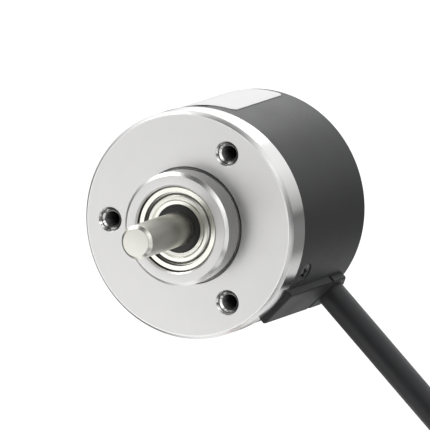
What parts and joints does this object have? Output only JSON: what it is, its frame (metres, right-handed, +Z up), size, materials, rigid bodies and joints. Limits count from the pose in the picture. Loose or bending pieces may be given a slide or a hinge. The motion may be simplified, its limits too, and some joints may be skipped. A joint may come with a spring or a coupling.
{
  "type": "incremental rotary encoder",
  "caption": "Solid-shaft incremental rotary encoder: round aluminium flange with pilot boss and ball-bearing shaft, dark cup cover with label, and a cable leaving radially.",
  "frame": {"origin": "centre of the flange's mounting face, on the shaft axis", "axes": "the shaft points along -Y, the body lies along +Y; +Z is up as in the picture, with the cable leaving at 45 degrees below +X"},
  "size_m": [0.1051, 0.1054, 0.0864],
  "materials": {
    "turned_aluminium": "satin, turned and bead-blasted",
    "shaft_steel": "ground, bright",
    "bearing_steel": "ground, warm bright",
    "ring_face_dark": "dark ground face",
    "shield_steel": "pressed sheet",
    "ball_steel": "polished",
    "cage_plastic": "moulded",
    "spring_steel": "blued",
    "disc_metal": "etched sheet",
    "brass": "machined",
    "black_plastic": "moulded",
    "clear_lens": "clear",
    "emitter_lens": "clear, slightly tinted",
    "plated_pin": "gold plated",
    "board_green": "solder mask",
    "chip_black": "moulded",
    "capacitor_can": "bare with a sleeve",
    "small_chip_tan": "fired ceramic",
    "screw_steel": "zinc plated",
    "connector_white": "moulded",
    "wire_insulation": "five insulation colours",
    "cover_dark": "matte powder coat, dark grey",
    "seal_rubber": "moulded",
    "label_white": "film, bare",
    "outlet_rubber": "moulded, satin",
    "cable_sheath": "extruded, satin",
    "tinned_copper": "tinned"
  },
  "bodies": {
    "housing": {"front_flange": "turned_aluminium", "front_bearing_outer_ring": "bearing_steel", "front_bearing_shields": "shield_steel", "rear_bearing_outer_ring": "bearing_steel", "rear_bearing_shields": "shield_steel", "preload_spring": "spring_steel", "retaining_ring": "spring_steel", "emitter_holder": "black_plastic", "emitter_led": "emitter_lens", "collimating_lens": "clear_lens", "emitter_pins": "plated_pin", "main_circuit_board": "board_green", "detector_chip": "chip_black", "phase_mask": "disc_metal", "board_posts": "brass", "board_screws": "screw_steel", "line_driver_chip": "chip_black", "capacitor": "capacitor_can", "small_chips": "small_chip_tan", "wire_header": "connector_white", "wire_plug": "connector_white", "inner_wires": "wire_insulation", "housing_cover": "cover_dark", "cover_seal": "seal_rubber", "cover_screws": "screw_steel", "label": "label_white", "slot_filler": "outlet_rubber", "cable_grommet": "outlet_rubber", "cable_entry": "cable_sheath", "cable": "cable_sheath", "cable_coil": "cable_sheath", "cable_tail": "cable_sheath", "cable_end_sleeve": "outlet_rubber", "cable_leads": "wire_insulation", "lead_tips": "tinned_copper"},
    "rotor": {"shaft": "shaft_steel", "inner_ring_spacer": "shaft_steel", "front_bearing_inner_ring": "ring_face_dark", "rear_bearing_inner_ring": "bearing_steel", "code_disc_hub": "brass", "hub_set_screws": "spring_steel", "code_disc": "disc_metal", "disc_clamp_ring": "turned_aluminium"},
    "front_ball_set": {"front_bearing_balls": "ball_steel", "front_bearing_cage": "cage_plastic"},
    "rear_ball_set": {"rear_bearing_balls": "ball_steel", "rear_bearing_cage": "cage_plastic"}
  },
  "joints": [
    {"name": "shaft_spin", "type": "hinge", "parent": "housing", "child": "rotor", "pos_m": [0, 0, 0], "axis": [0, 1, 0], "continuous": true},
    {"name": "front_cage_spin", "type": "hinge", "parent": "housing", "child": "front_ball_set", "pos_m": [0, -0.0017, 0], "axis": [0, 1, 0], "continuous": true},
    {"name": "rear_cage_spin", "type": "hinge", "parent": "housing", "child": "rear_ball_set", "pos_m": [0, 0.0077, 0], "axis": [0, 1, 0], "continuous": true}
  ],
  "couplings": [
    {"joint": "front_cage_spin", "follows": "shaft_spin", "ratio": 0.376},
    {"joint": "rear_cage_spin", "follows": "shaft_spin", "ratio": 0.376}
  ]
}
